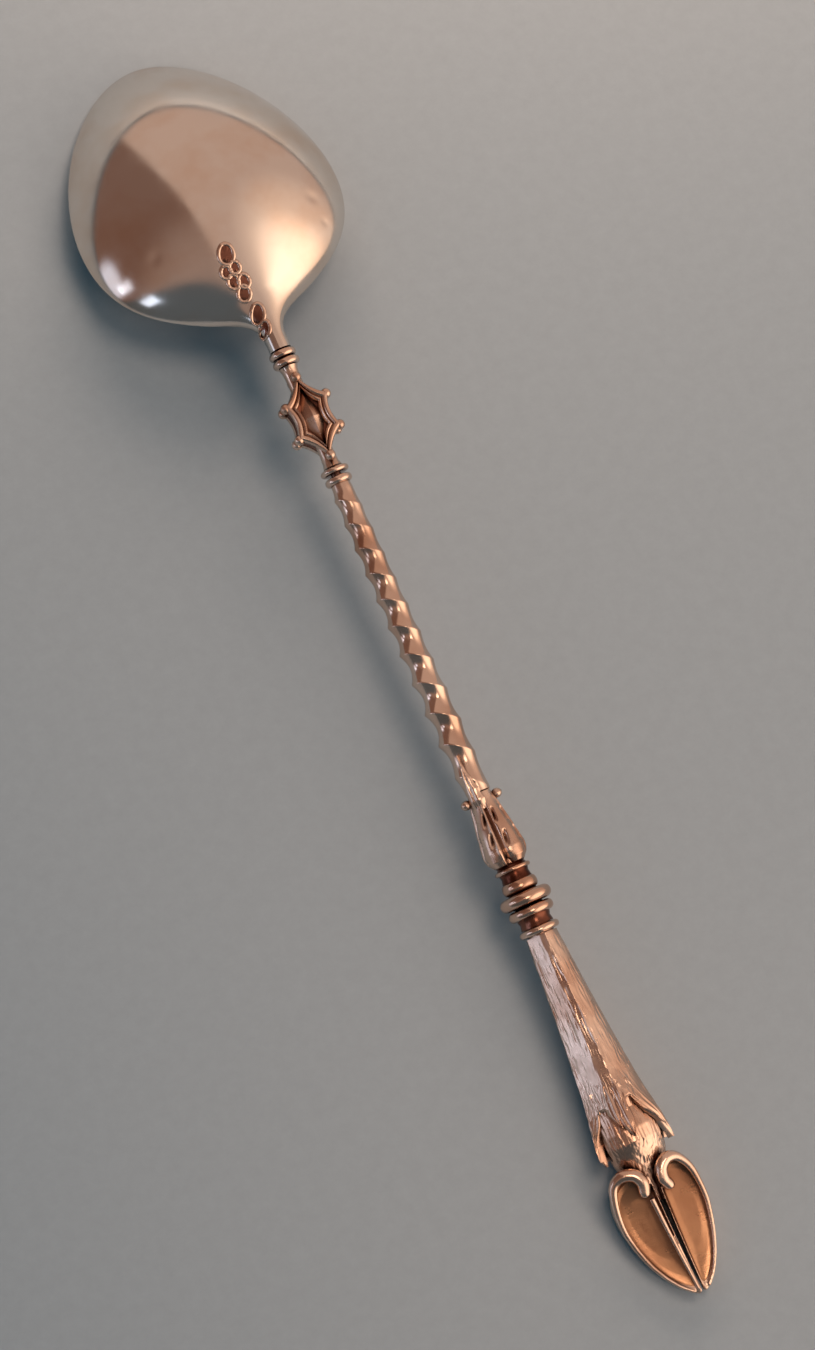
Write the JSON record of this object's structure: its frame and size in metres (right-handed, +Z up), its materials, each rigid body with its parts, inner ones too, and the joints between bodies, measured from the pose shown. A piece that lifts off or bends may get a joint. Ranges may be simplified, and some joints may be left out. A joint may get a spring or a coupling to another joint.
{
  "type": "demitasse spoon",
  "caption": "Small silver coffee spoon with a pear-shaped bowl, a beaded diamond cartouche, a twisted stem, a leaf calyx, a turned baluster and a furred leg ending in a cloven hoof.",
  "frame": {"origin": "middle of the spoon's length and width, on the surface that it lies on face down", "axes": "+Y along the length from the hoof to the bowl's tip, +Z up from the surface, +X to the right seen from above with the bowl at the far end"},
  "size_m": [0.022, 0.1085, 0.0092],
  "materials": {
    "polished_silver": "old polished sterling silver with fine wear and dark recesses",
    "chased_silver": "cast and chased sterling silver, brown tarnish in the recesses"
  },
  "bodies": {
    "root": {"baluster_end_ring": "polished_silver", "baluster_fillet": "polished_silver", "baluster_lower_ring": "polished_silver", "baluster_small_ring": "polished_silver", "baluster_torus": "polished_silver", "bowl": "polished_silver", "calyx_bead_left": "chased_silver", "calyx_bead_right": "chased_silver", "calyx_cup": "chased_silver", "calyx_leaf_back": "chased_silver", "calyx_leaf_front": "chased_silver", "cartouche_bead_back_1": "chased_silver", "cartouche_bead_back_2": "chased_silver", "cartouche_bead_back_3": "chased_silver", "cartouche_bead_back_4": "chased_silver", "cartouche_bead_back_5": "chased_silver", "cartouche_bead_back_6": "chased_silver", "cartouche_bead_front_1": "chased_silver", "cartouche_bead_front_2": "chased_silver", "cartouche_bead_front_3": "chased_silver", "cartouche_bead_front_4": "chased_silver", "cartouche_bead_front_5": "chased_silver", "cartouche_bead_front_6": "chased_silver", "cartouche_body": "chased_silver", "cartouche_boss_back": "chased_silver", "cartouche_boss_front": "chased_silver", "cartouche_frame_back": "chased_silver", "cartouche_frame_front": "chased_silver", "collar_barrel": "polished_silver", "collar_flange": "polished_silver", "fur_cuff_left": "chased_silver", "fur_cuff_right": "chased_silver", "fur_tuft": "chased_silver", "hoof_claw_left": "polished_silver", "hoof_claw_right": "polished_silver", "leg": "chased_silver", "neck_ring_lower": "polished_silver", "neck_ring_upper": "polished_silver", "pastern": "chased_silver", "twisted_stem": "polished_silver"}
  },
  "joints": []
}
